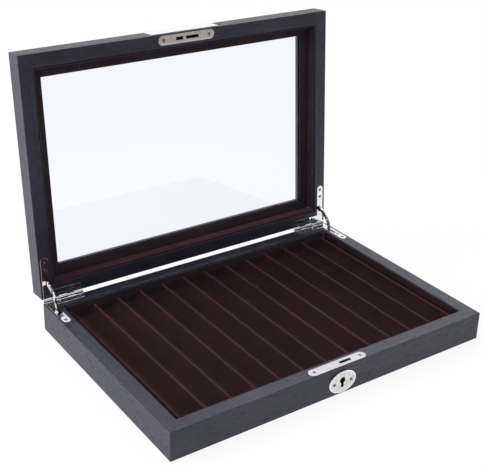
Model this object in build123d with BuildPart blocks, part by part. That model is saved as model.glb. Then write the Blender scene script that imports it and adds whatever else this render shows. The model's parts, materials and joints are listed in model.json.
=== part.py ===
from build123d import *
from math import asin, atan2, cos, degrees, hypot, radians, sin, sqrt
import os

# Pen display case: a shallow wooden tray with a glazed lid on two quadrant hinges.
# Millimetres, +X along the front, +Y towards the hinges, +Z up, origin under the base.

# Case
case_length = 340.0
case_depth = 233.0
base_height = 27.7
lid_height = 19.8
wall = 13.2
corner_radius = 0.5
edge_radius = 0.4
rim_edge_radius = 0.9
bottom_edge_radius = 0.3
closing_gap = 0.3
open_angle = 94.4

# Bottom of the base
panel_thickness = 4.0
felt_thickness = 1.0
panel_rebate = 4.5
panel_clearance = 0.2

# Velvet pen tray and the strips round it
channel_count = 12
channel_pitch = 25.0
channel_depth = 8.5
crest_width = 1.6
crest_round = 0.6
crest_below_rim = 6.0
edge_drop = 4.0
tray_gap = 0.3
liner_thickness = 2.0
liner_below_rim = 1.0
liner_round = 0.7
lid_liner_below_rim = 0.6

# Glazing
frame_width = 25.4
lip_thickness = 4.0
glass_thickness = 2.0
glass_clearance = 0.4
retainer_thickness = 1.8
retainer_set_back = 0.5

# Quadrant hinges
hinge_set_back = 2.3
barrel_radius = 1.95
knuckle_count = 5
knuckle_gap = 0.3
pin_radius = 0.8
pin_clearance = 0.05
pin_head_radius = 1.5
pin_head_thickness = 0.6
leaf_thickness = 1.8
leaf_width = 7.6
leaf_side_inset = 2.0
leaf_side_leg = 42.0
leaf_back_leg = 39.5
leaf_clearance = 0.1
leaf_web_overlap = 1.0
side_screw_from_end = (4.8, 12.6)
back_screw_from_end = (4.5, 26.9)
plate_edge_round = 0.25

# Stays of the hinges
stay_curve_radius = 23.3
stay_middle_reach = 16.5
stay_width = 3.6
stay_thickness = 1.4
stay_side_clearance = 0.5
stay_from_leaf_middle = 1.0
stay_slot_clearance = 0.4
base_slot_length = 13.8
lid_slot_length = 6.6
stay_stop_radius = 0.75
stay_stop_length = 4.0
stay_stop_clearance = 0.3
stay_tail = 1.5
stay_end_round = 1.2
stay_share = 0.6
mortise_clearance = 0.6
mortise_side_clearance = 0.3

# Countersunk screws
screw_head_radius = 1.8
screw_head_height = 1.2
screw_shank_radius = 0.9
screw_length = 9.0
screw_clearance = 0.05
screw_cross_width = 0.7
screw_cross_length = 2.6
screw_cross_depth = 0.8

# Box lock
lock_from_front = 5.8
plate_x = 0.7
plate_length = 62.0
plate_width = 9.5
plate_clearance = 0.1
plate_screw_spacing = 50.4
selvedge_thickness = 1.6
selvedge_slot_start = 2.9
selvedge_slot_length = 12.4
keeper_thickness = 1.2
keeper_slot_lengths = (7.8, 14.0)
keeper_slot_starts = (-11.1, -0.2)
lock_slot_width = 3.0
lock_case_length = 39.0
lock_case_depth = 7.0
lock_case_wall = 0.8
lock_case_clearance = 0.2
keyhole_x = 1.6
keyhole_below_rim = 13.3
keyhole_radius = 3.0
keyhole_slot_width = 3.0
keyhole_slot_drop = 7.0
keyhole_margin = 0.4
key_post_gap = 0.8
key_post_radius = 1.0
claw_bore_clearance = 0.05
claw_inner_radius = 16.0
claw_outer_radius = 18.0
claw_thickness = 1.6
claw_tip_angle = 36.0
claw_floor_clearance = 1.2
claw_spoke_width = 2.6
claw_hub_radius = 3.6
claw_notch_width = 1.8
claw_pocket_margin = 0.8
claw_pocket_depth = 6.0

# Escutcheon and front plate
escutcheon_x = 2.0
escutcheon_half_length = 14.7
escutcheon_half_height = 10.7
escutcheon_below_rim = 15.0
escutcheon_thickness = 1.5
escutcheon_round = 0.25
escutcheon_pin_spacing = 18.6
escutcheon_pin_below_rim = 15.4
escutcheon_pin_radius = 0.6
escutcheon_pin_head = 1.2
escutcheon_pin_head_height = 0.6
escutcheon_pin_length = 2.7
escutcheon_recess_radius = 1.6
escutcheon_recess_depth = 0.7
front_plate_length = 75.0
front_plate_height = 17.5
front_plate_thickness = 1.0
front_plate_round = 0.15

# Places worked out from the sizes above
inner_length = case_length - 2 * wall
inner_depth = case_depth - 2 * wall
lock_middle = case_depth / 2 - lock_from_front
panel_top = felt_thickness + panel_thickness
axis_y = case_depth / 2 + hinge_set_back
axis_z = base_height + closing_gap / 2
tray_length = inner_length - 2 * (liner_thickness + tray_gap)
tray_depth = inner_depth - 2 * (liner_thickness + tray_gap)
crest_z = base_height - crest_below_rim
channel_half_chord = (channel_pitch - crest_width) / 2
channel_radius = (channel_half_chord**2 + channel_depth**2) / (2 * channel_depth)
window_length = case_length - 2 * frame_width
window_depth = case_depth - 2 * frame_width
glass_face = lid_height - lip_thickness - glass_thickness
retainer_face = glass_face - retainer_thickness
leaf_x = case_length / 2 - leaf_side_inset - leaf_width / 2
stay_x = leaf_x - stay_from_leaf_middle
leaf_back_y = case_depth / 2 - leaf_width / 2
leaf_end_y = case_depth / 2 - leaf_side_leg
leaf_end_x = case_length / 2 - leaf_side_inset - leaf_back_leg
knuckle_length = (leaf_back_leg + knuckle_gap) / knuckle_count - knuckle_gap
slot_back_y = axis_y - stay_middle_reach + stay_width / 2 + stay_slot_clearance
stop_depth = closing_gap / 2 + leaf_thickness + stay_stop_clearance + stay_stop_radius
stay_centre_behind = stay_curve_radius - stay_middle_reach
stay_middle_angle = 180 - open_angle / 2
case_inside = lock_case_depth - 2 * lock_case_wall
lock_case_height = base_height - selvedge_thickness - panel_top - lock_case_clearance
keyhole_z = base_height - keyhole_below_rim
escutcheon_z = base_height - escutcheon_below_rim
escutcheon_pin_z = base_height - escutcheon_pin_below_rim
pin_seat = escutcheon_thickness - escutcheon_recess_depth
spoke_reach = (claw_inner_radius + claw_outer_radius) / 2
spoke_slant = degrees(atan2(claw_spoke_width / 2, spoke_reach))
claw_drop = lock_case_height - lock_case_wall - claw_floor_clearance - keyhole_below_rim + selvedge_thickness
claw_root_angle = spoke_slant - degrees(asin(claw_drop / hypot(spoke_reach, claw_spoke_width / 2)))
claw_arc = claw_tip_angle - claw_root_angle
sides = ("front", "back", "left", "right")
hands = {"left": -1, "right": 1}

# Each half of the case is drawn from its rim, with depth measured into the wood.
# The second value is the sign of that plane's own Y towards the hinges.
lid_up = Vector(0, sin(radians(open_angle)), cos(radians(open_angle)))
hinge_plane = Plane(origin=(0, axis_y, axis_z), x_dir=(1, 0, 0), z_dir=lid_up)
lid_origin = hinge_plane.from_local_coords(Vector(0, -axis_y, closing_gap / 2))
base_rim = Plane(origin=(0, 0, base_height), x_dir=(1, 0, 0), z_dir=(0, 0, -1))
lid_rim = Plane(origin=lid_origin, x_dir=(1, 0, 0), z_dir=lid_up)
base_half = (base_rim, -1)
lid_half = (lid_rim, 1)
front_face = Plane(origin=(0, -case_depth / 2, 0), x_dir=(1, 0, 0), z_dir=(0, -1, 0))


os.makedirs("parts", exist_ok=True)


def save(piece, name):
    """Labels a finished piece and writes it under its own name."""
    piece.part.label = name
    export_step(piece.part, f"parts/{name}.step")


def rim_locations(half, places, depth):
    """Locations at a depth below a rim, turned to face into the wood."""
    return [half[0].location * Location((x, y, depth)) for x, y in places]


def hinge_section(half, x):
    """Plane square to the hinge axis at x, its own X towards the back of that half."""
    face, back = half
    return Plane(origin=(x, axis_y, axis_z), x_dir=face.y_dir * back, z_dir=(1, 0, 0))


def mitre_outline(half, side):
    """Plan of one side of the case, cut at 45 degrees through its corners."""
    face, back = half
    x = case_length / 2
    y = back * case_depth / 2
    reach = case_depth / 2
    with BuildSketch(face) as outline:
        with BuildLine():
            if side in hands:
                edge = hands[side] * x
                Polyline((edge, -y), (edge, y), (edge - hands[side] * reach, 0), close=True)
            else:
                edge = y if side == "back" else -y
                Polyline((-x, edge), (x, edge), (x - reach, 0), (reach - x, 0), close=True)
        make_face()
    return outline.sketch


def frame_ring(half, height, far_edge_radius, openings):
    """Rounded block of one half with its openings: each a length, a depth and two levels."""
    face = half[0]
    with BuildPart() as ring:
        with BuildSketch(face):
            RectangleRounded(case_length, case_depth, corner_radius)
        extrude(amount=height)
        into_wood = Axis(face.origin, face.z_dir)
        fillet(ring.faces().sort_by(into_wood)[0].edges(), edge_radius)
        fillet(ring.faces().sort_by(into_wood)[-1].edges(), far_edge_radius)
        for length, depth, start, end in openings:
            with BuildSketch(face.offset(start)):
                Rectangle(length, depth)
            extrude(amount=end - start, mode=Mode.SUBTRACT)
        fillet(ring.faces().sort_by(into_wood)[0].inner_wires()[0].edges(), rim_edge_radius)
    return ring.part


def leaf_outline(half, hand, margin=0.0):
    """L-shaped leaf in plan: round-ended legs, the back one square beside its barrel."""
    face, back = half
    width = leaf_width + 2 * margin
    round_x = leaf_end_x + leaf_width / 2
    round_y = leaf_end_y + leaf_width / 2
    outer_x = leaf_x + width / 2
    outer_y = leaf_back_y + width / 2
    with BuildSketch(face) as outline:
        with Locations((hand * leaf_x, back * (round_y + outer_y) / 2)):
            Rectangle(width, outer_y - round_y)
        with Locations((hand * (round_x + outer_x) / 2, back * leaf_back_y)):
            Rectangle(outer_x - round_x, width)
        with Locations((hand * leaf_x, back * round_y), (hand * round_x, back * leaf_back_y)):
            Circle(width / 2)
        with Locations((hand * (round_x - width / 4), back * (leaf_back_y + width / 4))):
            Rectangle(width / 2, width / 2)
    return outline.sketch


def leaf_screw_places(half, hand):
    """Places of the four screws of one leaf."""
    back = half[1]
    along_side = [(hand * leaf_x, back * (leaf_end_y + step)) for step in side_screw_from_end]
    along_back = [(hand * (leaf_end_x + step), back * leaf_back_y) for step in back_screw_from_end]
    return along_side + along_back


def plate_screw_places(half):
    """Places of the two screws of a lock plate."""
    steps = [hand * plate_screw_spacing / 2 for hand in hands.values()]
    return [(plate_x + step, -half[1] * lock_middle) for step in steps]


def screw_set(half, places, margin=0.0):
    """Countersunk screws: a cone for each head over a plain shank."""
    with BuildPart() as screws:
        with Locations(*rim_locations(half, places, screw_head_height / 2)):
            Cone(screw_head_radius + margin, screw_shank_radius + margin, screw_head_height)
        with Locations(*rim_locations(half, places, (screw_head_height + screw_length) / 2)):
            Cylinder(screw_shank_radius + margin, screw_length - screw_head_height)
    return screws.part


def cross_recesses(half, places):
    """Cross recess in the head of each screw."""
    with BuildPart() as recesses:
        with Locations(*rim_locations(half, places, screw_cross_depth / 2)):
            Box(screw_cross_length, screw_cross_width, screw_cross_depth)
            Box(screw_cross_width, screw_cross_length, screw_cross_depth)
    return recesses.part


def edged_plate(half, outline, thickness):
    """Plate sunk in a rim, with its visible edge slightly rounded."""
    face = half[0]
    with BuildPart() as plate:
        extrude(outline, amount=thickness)
        rim_face = plate.faces().sort_by(Axis(face.origin, face.z_dir))[0]
        fillet(rim_face.edges(), plate_edge_round)
    return plate.part


def stay_share_of(half):
    """Part of the lid's travel that the stay makes relative to one half."""
    return stay_share if half is base_half else 1 - stay_share


def slot_front_of(half):
    """Front end of the stay's slot in the leaf of one half."""
    return slot_back_y - (base_slot_length if half is base_half else lid_slot_length)


def stay_reach(angle):
    """Distance from the hinge axis to a stay's middle line, at an angle from its own middle."""
    turn = radians(angle)
    along = sqrt(stay_curve_radius**2 - (stay_centre_behind * sin(turn))**2)
    return along - stay_centre_behind * cos(turn)


def hinge_cut(half, hand):
    """Wood taken out for one hinge: the leaf's recess, the stay's mortise, the pilot holes."""
    face, back = half
    swing = radians(stay_share_of(half) * open_angle + tail_angle)
    mortise_depth = (end_reach + stay_width / 2) * sin(swing) - closing_gap / 2 + mortise_clearance
    mortise_back = axis_y - (end_reach - stay_width / 2) * cos(swing) + mortise_clearance
    mortise_front = slot_front_of(half)
    mortise_width = stay_stop_length + 2 * mortise_side_clearance
    with BuildPart() as cut:
        extrude(leaf_outline(half, hand, leaf_clearance), amount=leaf_thickness)
        with BuildSketch(face):
            with Locations((hand * stay_x, back * (mortise_front + mortise_back) / 2)):
                Rectangle(mortise_width, mortise_back - mortise_front)
        extrude(amount=mortise_depth)
        add(screw_set(half, leaf_screw_places(half, hand), screw_clearance))
    return cut.part


def plate_outline(half, margin=0.0):
    """Round-ended lock plate in plan."""
    face, back = half
    with BuildSketch(face) as outline:
        with Locations((plate_x, -back * lock_middle)):
            SlotOverall(plate_length + 2 * margin, plate_width + 2 * margin)
    return outline.sketch


def keyhole_outline(margin=0.0):
    """Keyhole in the front: a circle over a straight slot."""
    with BuildSketch(front_face) as outline:
        with Locations((keyhole_x, keyhole_z)):
            Circle(keyhole_radius + margin)
        with Locations((keyhole_x, keyhole_z - keyhole_slot_drop / 2 - margin / 2)):
            Rectangle(keyhole_slot_width + 2 * margin, keyhole_slot_drop + margin)
    return outline.sketch


def escutcheon_pin_places():
    """Places of the two escutcheon pins on the front."""
    steps = [hand * escutcheon_pin_spacing / 2 for hand in hands.values()]
    return [(escutcheon_x + step, escutcheon_pin_z) for step in steps]


# Where a stay stops and where it ends, as angles about the hinge axis from its middle
leaf_reach = stay_reach(open_angle / 2)
stop_angle = degrees(asin(stop_depth / leaf_reach))
tail_angle = stop_angle + degrees(stay_tail / leaf_reach)
end_angle = open_angle / 2 + tail_angle
end_reach = stay_reach(end_angle)
stay_half_sweep = degrees(asin(end_reach * sin(radians(end_angle)) / stay_curve_radius))

# Wood taken out of the front rail for the lock, and of the lid for its keeper
with BuildPart() as lock_cut:
    extrude(plate_outline(base_half, plate_clearance), amount=selvedge_thickness)
    with BuildSketch(base_rim.offset(selvedge_thickness)):
        with Locations((keyhole_x, lock_middle)):
            Rectangle(
                lock_case_length + 2 * lock_case_clearance,
                lock_case_depth + 2 * lock_case_clearance,
            )
    extrude(amount=lock_case_height + lock_case_clearance)
    extrude(keyhole_outline(keyhole_margin), amount=-lock_from_front)
    with BuildSketch(front_face):
        with Locations(*escutcheon_pin_places()):
            Circle(escutcheon_pin_radius)
    extrude(amount=pin_seat - escutcheon_pin_length)
    add(screw_set(base_half, plate_screw_places(base_half), screw_clearance))

with BuildPart() as keeper_cut:
    extrude(plate_outline(lid_half, plate_clearance), amount=keeper_thickness)
    pocket_start = keeper_slot_starts[0] - claw_pocket_margin
    pocket_end = keeper_slot_starts[1] + keeper_slot_lengths[1] + claw_pocket_margin
    with BuildSketch(lid_rim):
        with Locations(((pocket_start + pocket_end) / 2, -lock_middle)):
            Rectangle(pocket_end - pocket_start, lock_slot_width + 2 * claw_pocket_margin)
    extrude(amount=claw_pocket_depth)
    add(screw_set(lid_half, plate_screw_places(lid_half), screw_clearance))

# Mitred rails of the base and of the lid
base_ring = frame_ring(
    base_half,
    base_height,
    bottom_edge_radius,
    [
        (inner_length, inner_depth, 0, base_height),
        (inner_length + 2 * panel_rebate, inner_depth + 2 * panel_rebate,
         base_height - panel_top, base_height),
    ],
)
lid_ring = frame_ring(
    lid_half,
    lid_height,
    edge_radius,
    [
        (inner_length, inner_depth, 0, lid_height - lip_thickness),
        (window_length, window_depth, lid_height - lip_thickness, lid_height),
    ],
)
halves = {
    "base": (base_half, base_ring, base_height, lock_cut),
    "lid": (lid_half, lid_ring, lid_height, keeper_cut),
}
for half_name, (half, ring, height, front_cut) in halves.items():
    hinge_cuts = {hand_name: hinge_cut(half, hand) for hand_name, hand in hands.items()}
    for side in sides:
        with BuildPart() as rail:
            add(ring)
            extrude(mitre_outline(half, side), amount=height, mode=Mode.INTERSECT)
            if side == "front":
                add(front_cut.part, mode=Mode.SUBTRACT)
            for hand_name, cut in hinge_cuts.items():
                if side in (hand_name, "back"):
                    add(cut, mode=Mode.SUBTRACT)
        save(rail, f"{half_name}_{side}_rail")

# Bottom panel in the rebate of the rails, with felt under it
with BuildPart() as bottom_panel:
    with BuildSketch(Plane.XY.offset(felt_thickness)):
        Rectangle(
            inner_length + 2 * (panel_rebate - panel_clearance),
            inner_depth + 2 * (panel_rebate - panel_clearance),
        )
    extrude(amount=panel_thickness)
save(bottom_panel, "bottom_panel")

with BuildPart() as underside_felt:
    with BuildSketch():
        Rectangle(
            inner_length + 2 * (panel_rebate - panel_clearance),
            inner_depth + 2 * (panel_rebate - panel_clearance),
        )
    extrude(amount=felt_thickness)
save(underside_felt, "underside_felt")

# Velvet tray: round-bottomed channels between narrow crests
with BuildPart() as pen_tray:
    with BuildSketch(Plane.XZ) as tray_profile:
        with Locations((0, (panel_top + crest_z) / 2)):
            Rectangle(tray_length, crest_z - panel_top)
        with Locations((0, crest_z - channel_depth + channel_radius)):
            with GridLocations(channel_pitch, 0, channel_count, 1):
                Circle(channel_radius, mode=Mode.SUBTRACT)
        edge_crest_x = (channel_count * channel_pitch + crest_width) / 2
        with Locations(*[(hand * tray_length / 2, crest_z) for hand in hands.values()]):
            Rectangle(tray_length - 2 * edge_crest_x, 2 * edge_drop, mode=Mode.SUBTRACT)
        fillet(tray_profile.vertices().group_by(Axis.Y)[-1], crest_round)
    extrude(amount=tray_depth / 2, both=True)
save(pen_tray, "pen_tray")

# Velvet strips on the inner walls of the base and of the lid
liner_levels = {
    "base": (base_half, liner_below_rim, base_height - panel_top),
    "lid": (lid_half, lid_liner_below_rim, retainer_face),
}
for half_name, (half, start, end) in liner_levels.items():
    face, back = half
    for side in sides:
        if side in hands:
            place = (hands[side] * (inner_length - liner_thickness) / 2, 0)
            size = (liner_thickness, inner_depth - 2 * liner_thickness)
        else:
            towards = back if side == "back" else -back
            place = (0, towards * (inner_depth - liner_thickness) / 2)
            size = (inner_length, liner_thickness)
        with BuildPart() as liner:
            with BuildSketch(face.offset(start)):
                with Locations(place):
                    Rectangle(*size)
            extrude(amount=end - start)
            rim_face = liner.faces().sort_by(Axis(face.origin, face.z_dir))[0]
            fillet(rim_face.edges(), liner_round)
        save(liner, f"{half_name}_{side}_liner")

# Glass against the lip of the lid, held by four velvet-covered strips
with BuildPart() as glass_pane:
    with BuildSketch(lid_rim.offset(glass_face)):
        Rectangle(inner_length - 2 * glass_clearance, inner_depth - 2 * glass_clearance)
    extrude(amount=glass_thickness)
save(glass_pane, "glass_pane")

for side in sides:
    with BuildPart() as retainer:
        with BuildSketch(lid_rim.offset(retainer_face)):
            Rectangle(inner_length, inner_depth)
            Rectangle(
                window_length + 2 * retainer_set_back,
                window_depth + 2 * retainer_set_back,
                mode=Mode.SUBTRACT,
            )
        extrude(amount=retainer_thickness)
        extrude(mitre_outline(lid_half, side), amount=lid_height, mode=Mode.INTERSECT)
    save(retainer, f"glass_retainer_{side}")

# Hinge leaves with their knuckles, the base having the outer ones
for half_name, (half, first_knuckle) in {"base": (base_half, 0), "lid": (lid_half, 1)}.items():
    face, back = half
    for hand_name, hand in hands.items():
        barrel_start = leaf_end_x if hand > 0 else -leaf_end_x - leaf_back_leg
        web_length = hinge_set_back + leaf_web_overlap
        slot_front_y = slot_front_of(half)
        with BuildPart() as leaf:
            add(edged_plate(half, leaf_outline(half, hand), leaf_thickness))
            for index in range(first_knuckle, knuckle_count, 2):
                knuckle_x = barrel_start + index * (knuckle_length + knuckle_gap)
                with BuildSketch(hinge_section(half, knuckle_x)):
                    Circle(barrel_radius)
                    with Locations((-web_length / 2, back * (closing_gap + leaf_thickness) / 2)):
                        Rectangle(web_length, leaf_thickness)
                    Circle(pin_radius + pin_clearance, mode=Mode.SUBTRACT)
                extrude(amount=knuckle_length)
            with BuildSketch(face):
                with Locations((hand * stay_x, back * (slot_front_y + slot_back_y) / 2)):
                    Rectangle(stay_thickness + 2 * stay_side_clearance, slot_back_y - slot_front_y)
            extrude(amount=leaf_thickness, mode=Mode.SUBTRACT)
            add(
                screw_set(half, leaf_screw_places(half, hand), screw_clearance),
                mode=Mode.SUBTRACT,
            )
        save(leaf, f"hinge_{half_name}_leaf_{hand_name}")

# Hinge pins with a low head at each end of the barrel
for hand_name, hand in hands.items():
    barrel_start = leaf_end_x if hand > 0 else -leaf_end_x - leaf_back_leg
    with BuildPart() as hinge_pin:
        with BuildSketch(hinge_section(base_half, barrel_start)):
            Circle(pin_radius)
        extrude(amount=leaf_back_leg)
        for head_x in (barrel_start - pin_head_thickness, barrel_start + leaf_back_leg):
            with BuildSketch(hinge_section(base_half, head_x)):
                Circle(pin_head_radius)
            extrude(amount=pin_head_thickness)
    save(hinge_pin, f"hinge_pin_{hand_name}")

# Stays: flat curved links, with a cross pin under each leaf as the stop
for hand_name, hand in hands.items():
    centre_x = -stay_centre_behind * cos(radians(stay_middle_angle))
    centre_z = -stay_centre_behind * sin(radians(stay_middle_angle))
    start_angle = stay_middle_angle - stay_half_sweep
    outer_radius = stay_curve_radius + stay_width / 2
    inner_radius = stay_curve_radius - stay_width / 2
    pin_reach = stay_reach(open_angle / 2 + stop_angle)
    with BuildPart() as stay:
        with BuildSketch(hinge_section(base_half, hand * stay_x)) as stay_profile:
            with BuildLine():
                centre = (centre_x, centre_z)
                outer_arc = CenterArc(centre, outer_radius, start_angle, 2 * stay_half_sweep)
                inner_arc = CenterArc(centre, inner_radius, start_angle, 2 * stay_half_sweep)
                Line(outer_arc @ 0, inner_arc @ 0)
                Line(outer_arc @ 1, inner_arc @ 1)
            make_face()
            fillet(stay_profile.vertices(), stay_end_round)
        extrude(amount=stay_thickness / 2, both=True)
        with BuildSketch(hinge_section(base_half, hand * stay_x)):
            for angle in (180 + stop_angle, 180 - open_angle - stop_angle):
                with Locations((pin_reach * cos(radians(angle)), pin_reach * sin(radians(angle)))):
                    Circle(stay_stop_radius)
        extrude(amount=stay_stop_length / 2, both=True)
    save(stay, f"hinge_stay_{hand_name}")

# Screws of the hinges and of the lock plates
screw_groups = {
    "base_hinge_screws": (base_half, [leaf_screw_places(base_half, hand) for hand in hands.values()]),
    "lid_hinge_screws": (lid_half, [leaf_screw_places(lid_half, hand) for hand in hands.values()]),
    "selvedge_screws": (base_half, [plate_screw_places(base_half)]),
    "keeper_screws": (lid_half, [plate_screw_places(lid_half)]),
}
for name, (half, place_lists) in screw_groups.items():
    places = sum(place_lists, [])
    with BuildPart() as screws:
        add(screw_set(half, places))
        add(cross_recesses(half, places), mode=Mode.SUBTRACT)
    save(screws, name)

# Lock: the plate in the rim, the case under it, and a claw that turns on the key post
with BuildPart() as lock_selvedge:
    add(edged_plate(base_half, plate_outline(base_half), selvedge_thickness))
    with BuildSketch(base_rim):
        with Locations((selvedge_slot_start + selvedge_slot_length / 2, lock_middle)):
            Rectangle(selvedge_slot_length, lock_slot_width)
    extrude(amount=selvedge_thickness, mode=Mode.SUBTRACT)
    add(
        screw_set(base_half, plate_screw_places(base_half), screw_clearance),
        mode=Mode.SUBTRACT,
    )
save(lock_selvedge, "lock_selvedge")

with BuildPart() as lock_case:
    with BuildSketch(base_rim.offset(selvedge_thickness)):
        with Locations((keyhole_x, lock_middle)):
            Rectangle(lock_case_length, lock_case_depth)
    extrude(amount=lock_case_height)
    with BuildSketch(base_rim.offset(selvedge_thickness)):
        with Locations((keyhole_x, lock_middle)):
            Rectangle(lock_case_length - 2 * lock_case_wall, case_inside)
    extrude(amount=lock_case_height - lock_case_wall, mode=Mode.SUBTRACT)
    extrude(keyhole_outline(), amount=-lock_from_front, mode=Mode.SUBTRACT)
    with BuildSketch(front_face.offset(-lock_from_front - case_inside / 2)):
        with Locations((keyhole_x, keyhole_z)):
            Circle(key_post_radius)
    extrude(amount=case_inside - key_post_gap)
save(lock_case, "lock_case")

with BuildPart() as lock_claw:
    with BuildSketch(front_face.offset(-lock_from_front)) as claw_profile:
        with Locations((keyhole_x, keyhole_z)):
            Circle(claw_hub_radius)
        spoke_x = keyhole_x + spoke_reach / 2 * cos(radians(claw_root_angle))
        spoke_z = keyhole_z + spoke_reach / 2 * sin(radians(claw_root_angle))
        with Locations(Location((spoke_x, spoke_z, 0), (0, 0, claw_root_angle))):
            Rectangle(spoke_reach, claw_spoke_width)
        with BuildLine():
            post = (keyhole_x, keyhole_z)
            outer_arc = CenterArc(post, claw_outer_radius, claw_root_angle, claw_arc)
            inner_arc = CenterArc(post, claw_inner_radius, claw_root_angle, claw_arc)
            Line(outer_arc @ 0, inner_arc @ 0)
            Line(outer_arc @ 1, inner_arc @ 1)
        make_face()
        with Locations((keyhole_x, keyhole_z)):
            Circle(key_post_radius + claw_bore_clearance, mode=Mode.SUBTRACT)
        with Locations((keyhole_x, keyhole_z - claw_hub_radius)):
            Rectangle(claw_notch_width, claw_hub_radius, mode=Mode.SUBTRACT)
    extrude(amount=claw_thickness / 2, both=True)
save(lock_claw, "lock_claw")

with BuildPart() as lock_keeper:
    add(edged_plate(lid_half, plate_outline(lid_half), keeper_thickness))
    with BuildSketch(lid_rim):
        for start, length in zip(keeper_slot_starts, keeper_slot_lengths):
            with Locations((start + length / 2, -lock_middle)):
                Rectangle(length, lock_slot_width)
    extrude(amount=keeper_thickness, mode=Mode.SUBTRACT)
    add(
        screw_set(lid_half, plate_screw_places(lid_half), screw_clearance),
        mode=Mode.SUBTRACT,
    )
save(lock_keeper, "lock_keeper")

# Oval escutcheon on the front, with two round-headed pins in shallow recesses
with BuildPart() as escutcheon:
    with BuildSketch(front_face):
        with Locations((escutcheon_x, escutcheon_z)):
            Ellipse(escutcheon_half_length, escutcheon_half_height)
    extrude(amount=escutcheon_thickness)
    fillet(escutcheon.faces().sort_by(Axis.Y)[0].edges(), escutcheon_round)
    extrude(keyhole_outline(), amount=escutcheon_thickness, mode=Mode.SUBTRACT)
    with BuildSketch(front_face):
        with Locations(*escutcheon_pin_places()):
            Circle(escutcheon_pin_radius)
    extrude(amount=escutcheon_thickness, mode=Mode.SUBTRACT)
    with BuildSketch(front_face.offset(pin_seat)):
        with Locations(*escutcheon_pin_places()):
            Circle(escutcheon_recess_radius)
    extrude(amount=escutcheon_recess_depth, mode=Mode.SUBTRACT)
save(escutcheon, "escutcheon")

with BuildPart() as escutcheon_pins:
    with BuildSketch(front_face.offset(pin_seat)):
        with Locations(*escutcheon_pin_places()):
            Circle(escutcheon_pin_radius)
    extrude(amount=-escutcheon_pin_length)
    with BuildSketch(front_face.offset(pin_seat)):
        with Locations(*escutcheon_pin_places()):
            Circle(escutcheon_pin_head)
    extrude(amount=escutcheon_pin_head_height)
    fillet(escutcheon_pins.faces().group_by(Axis.Y)[0].edges(), escutcheon_pin_head_height / 2)
save(escutcheon_pins, "escutcheon_pins")

# Blank plate on the front edge of the lid
lid_front = Plane(
    origin=lid_rim.from_local_coords(Vector(0, -case_depth / 2, 0)),
    x_dir=(1, 0, 0),
    z_dir=-lid_rim.y_dir,
)
with BuildPart() as front_plate:
    with BuildSketch(lid_front):
        with Locations((0, lid_height / 2)):
            Rectangle(front_plate_length, front_plate_height)
    extrude(amount=front_plate_thickness)
    outward = Axis(lid_front.origin, lid_front.z_dir)
    fillet(front_plate.faces().sort_by(outward)[-1].edges(), front_plate_round)
save(front_plate, "front_plate")
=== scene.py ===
import json
from math import cos, pi, radians, sin

import bpy
import numpy as np
from mathutils import Matrix, Vector


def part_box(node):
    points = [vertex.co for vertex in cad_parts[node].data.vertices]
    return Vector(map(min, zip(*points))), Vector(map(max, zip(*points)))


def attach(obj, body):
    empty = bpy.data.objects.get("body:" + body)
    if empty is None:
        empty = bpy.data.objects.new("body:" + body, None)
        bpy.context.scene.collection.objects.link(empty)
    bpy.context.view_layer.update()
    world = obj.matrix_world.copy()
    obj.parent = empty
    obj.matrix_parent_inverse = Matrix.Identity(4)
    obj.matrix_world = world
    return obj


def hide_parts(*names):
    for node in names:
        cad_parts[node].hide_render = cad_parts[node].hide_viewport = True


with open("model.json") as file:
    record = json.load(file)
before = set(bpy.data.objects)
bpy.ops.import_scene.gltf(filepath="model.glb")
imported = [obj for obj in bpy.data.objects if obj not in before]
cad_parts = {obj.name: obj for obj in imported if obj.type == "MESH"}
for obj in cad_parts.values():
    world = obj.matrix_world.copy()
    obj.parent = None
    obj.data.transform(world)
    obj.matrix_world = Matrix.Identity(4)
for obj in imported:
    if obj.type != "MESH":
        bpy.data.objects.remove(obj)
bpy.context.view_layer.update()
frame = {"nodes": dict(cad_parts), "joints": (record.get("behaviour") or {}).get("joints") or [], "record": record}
nodes = frame["nodes"]
print("stage: frame loaded,", len(nodes), "nodes")

# The lid stands open past upright; grain and strips of the lid follow this lean
lidHinge = next(joint for joint in frame["joints"] if joint["name"] == "lid_hinge")
lidLean = radians(lidHinge["range_deg"][1] - 90)
lidUp = Vector((0, cos(lidLean), -sin(lidLean)))     # from the rim into the lid's thickness
lidDown = Vector((0, -sin(lidLean), -cos(lidLean)))  # along the lid towards its hinges
mm = 0.001  # the sizes of the tray, strips, battens and felt are given in millimetres
sides = ("front", "back", "left", "right")


# Camera fitted to the edges of both frames, in degrees, metres and pixels
camera = {
    "azimuth": 34.847, "elevation": 24.787, "roll": 1.411,
    "distance": 0.950884, "pan": 0.02306, "rise": -0.115527,
    "focalPixels": 996.19, "centrePixel": (236.85, 212.52),
    "imageSize": (482, 468), "sensor": 36.0, "clipStart": 0.01,
}


def placeCamera(values):
    az, el, roll = (radians(values[k]) for k in ("azimuth", "elevation", "roll"))
    back = Vector((-sin(az) * cos(el), -cos(az) * cos(el), sin(el)))
    level = (-back).cross(Vector((0, 0, 1))).normalized()
    raised = level.cross(-back)
    across = cos(roll) * level + sin(roll) * raised
    upward = -sin(roll) * level + cos(roll) * raised
    data = bpy.data.cameras.new("photoCamera")
    width, height = values["imageSize"]
    centreX, centreY = values["centrePixel"]
    data.sensor_width = values["sensor"]
    data.lens = values["focalPixels"] * values["sensor"] / width
    data.shift_x = (width / 2 - centreX) / width
    data.shift_y = (centreY - height / 2) / width
    data.clip_start = values["clipStart"]
    view = bpy.data.objects.new("photoCamera", data)
    turned = Matrix((across, upward, back)).transposed().to_4x4()
    place = back * values["distance"] - across * values["pan"] - upward * values["rise"]
    view.matrix_world = Matrix.Translation(place) @ turned
    bpy.context.collection.objects.link(view)
    bpy.context.scene.camera = view


placeCamera(camera)
print("stage: camera placed")


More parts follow.
